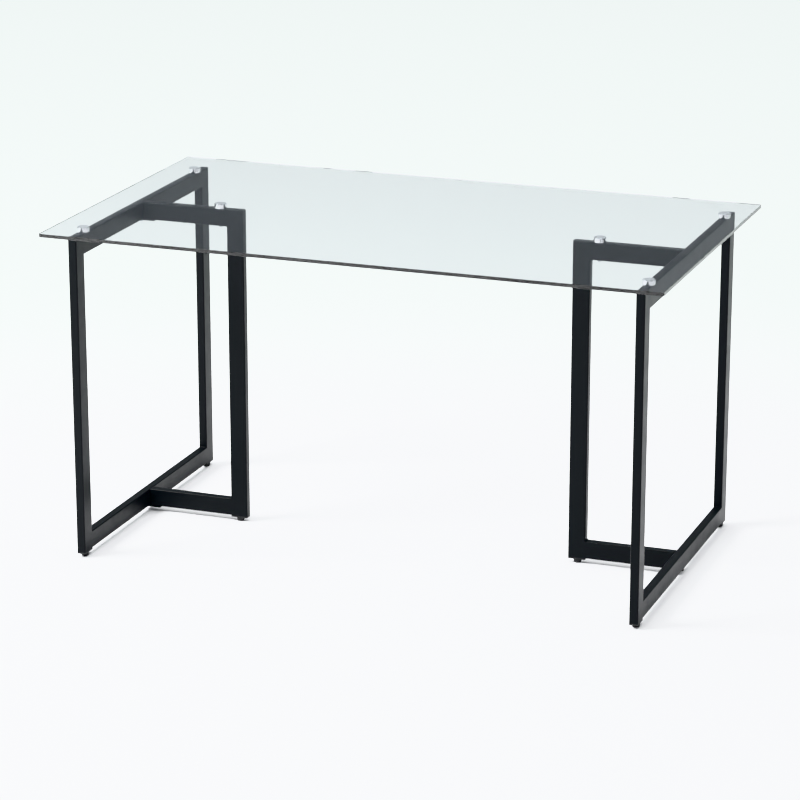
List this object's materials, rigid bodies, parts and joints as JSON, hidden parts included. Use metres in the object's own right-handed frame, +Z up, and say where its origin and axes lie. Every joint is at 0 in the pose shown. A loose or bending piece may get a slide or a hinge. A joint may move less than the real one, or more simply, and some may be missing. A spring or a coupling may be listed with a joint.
{
  "type": "glass top desk",
  "caption": "Rectangular clear glass desk top bonded to polished round standoffs on T-plan trestles of black rectangular steel tube with levelling feet.",
  "frame": {"origin": "on the floor, under the middle of the glass top", "axes": "+X along the desk's length to the sitter's right, +Y to the back, +Z up"},
  "size_m": [1.4, 0.8, 0.75],
  "materials": {
    "clear_glass": "clear tempered float glass with polished edges, faint grey-green",
    "black_powder_coat": "black fine-texture satin powder coat on welded steel tube",
    "polished_chrome": "mirror-polished, with a turned face",
    "zinc_plate": "bright zinc plate",
    "bonding_film": "clear cured adhesive film",
    "plug_plastic": "moulded black polypropylene",
    "foot_nylon": "moulded black nylon"
  },
  "bodies": {
    "desk": {"glass_top": "clear_glass", "right_front_upright": "black_powder_coat", "right_back_upright": "black_powder_coat", "right_inner_post": "black_powder_coat", "right_end_top_rail": "black_powder_coat", "right_end_bottom_rail": "black_powder_coat", "right_arm_top": "black_powder_coat", "right_arm_bottom": "black_powder_coat", "right_upper_joint_tab": "black_powder_coat", "right_upper_joint_screw": "zinc_plate", "right_upper_joint_nut": "zinc_plate", "right_lower_joint_tab": "black_powder_coat", "right_lower_joint_screw": "zinc_plate", "right_lower_joint_nut": "zinc_plate", "right_front_standoff": "polished_chrome", "right_front_standoff_bond": "bonding_film", "right_front_standoff_screw": "zinc_plate", "right_back_standoff": "polished_chrome", "right_back_standoff_bond": "bonding_film", "right_back_standoff_screw": "zinc_plate", "right_inner_standoff": "polished_chrome", "right_inner_standoff_bond": "bonding_film", "right_inner_standoff_screw": "zinc_plate", "right_front_upright_plug": "plug_plastic", "right_back_upright_plug": "plug_plastic", "right_inner_post_plug": "plug_plastic", "left_front_upright": "black_powder_coat", "left_back_upright": "black_powder_coat", "left_inner_post": "black_powder_coat", "left_end_top_rail": "black_powder_coat", "left_end_bottom_rail": "black_powder_coat", "left_arm_top": "black_powder_coat", "left_arm_bottom": "black_powder_coat", "left_upper_joint_tab": "black_powder_coat", "left_upper_joint_screw": "zinc_plate", "left_upper_joint_nut": "zinc_plate", "left_lower_joint_tab": "black_powder_coat", "left_lower_joint_screw": "zinc_plate", "left_lower_joint_nut": "zinc_plate", "left_front_standoff": "polished_chrome", "left_front_standoff_bond": "bonding_film", "left_front_standoff_screw": "zinc_plate", "left_back_standoff": "polished_chrome", "left_back_standoff_bond": "bonding_film", "left_back_standoff_screw": "zinc_plate", "left_inner_standoff": "polished_chrome", "left_inner_standoff_bond": "bonding_film", "left_inner_standoff_screw": "zinc_plate", "left_front_upright_plug": "plug_plastic", "left_back_upright_plug": "plug_plastic", "left_inner_post_plug": "plug_plastic"},
    "right_front_foot": {"right_front_upright_foot": "foot_nylon"},
    "right_back_foot": {"right_back_upright_foot": "foot_nylon"},
    "right_inner_foot": {"right_inner_post_foot": "foot_nylon"},
    "left_front_foot": {"left_front_upright_foot": "foot_nylon"},
    "left_back_foot": {"left_back_upright_foot": "foot_nylon"},
    "left_inner_foot": {"left_inner_post_foot": "foot_nylon"}
  },
  "joints": [
    {"name": "right_front_foot_travel", "type": "slide", "parent": "desk", "child": "right_front_foot", "axis": [0, 0, -1], "range_m": [0, 0.01]},
    {"name": "right_back_foot_travel", "type": "slide", "parent": "desk", "child": "right_back_foot", "axis": [0, 0, -1], "range_m": [0, 0.01]},
    {"name": "right_inner_foot_travel", "type": "slide", "parent": "desk", "child": "right_inner_foot", "axis": [0, 0, -1], "range_m": [0, 0.01]},
    {"name": "left_front_foot_travel", "type": "slide", "parent": "desk", "child": "left_front_foot", "axis": [0, 0, -1], "range_m": [0, 0.01]},
    {"name": "left_back_foot_travel", "type": "slide", "parent": "desk", "child": "left_back_foot", "axis": [0, 0, -1], "range_m": [0, 0.01]},
    {"name": "left_inner_foot_travel", "type": "slide", "parent": "desk", "child": "left_inner_foot", "axis": [0, 0, -1], "range_m": [0, 0.01]}
  ]
}
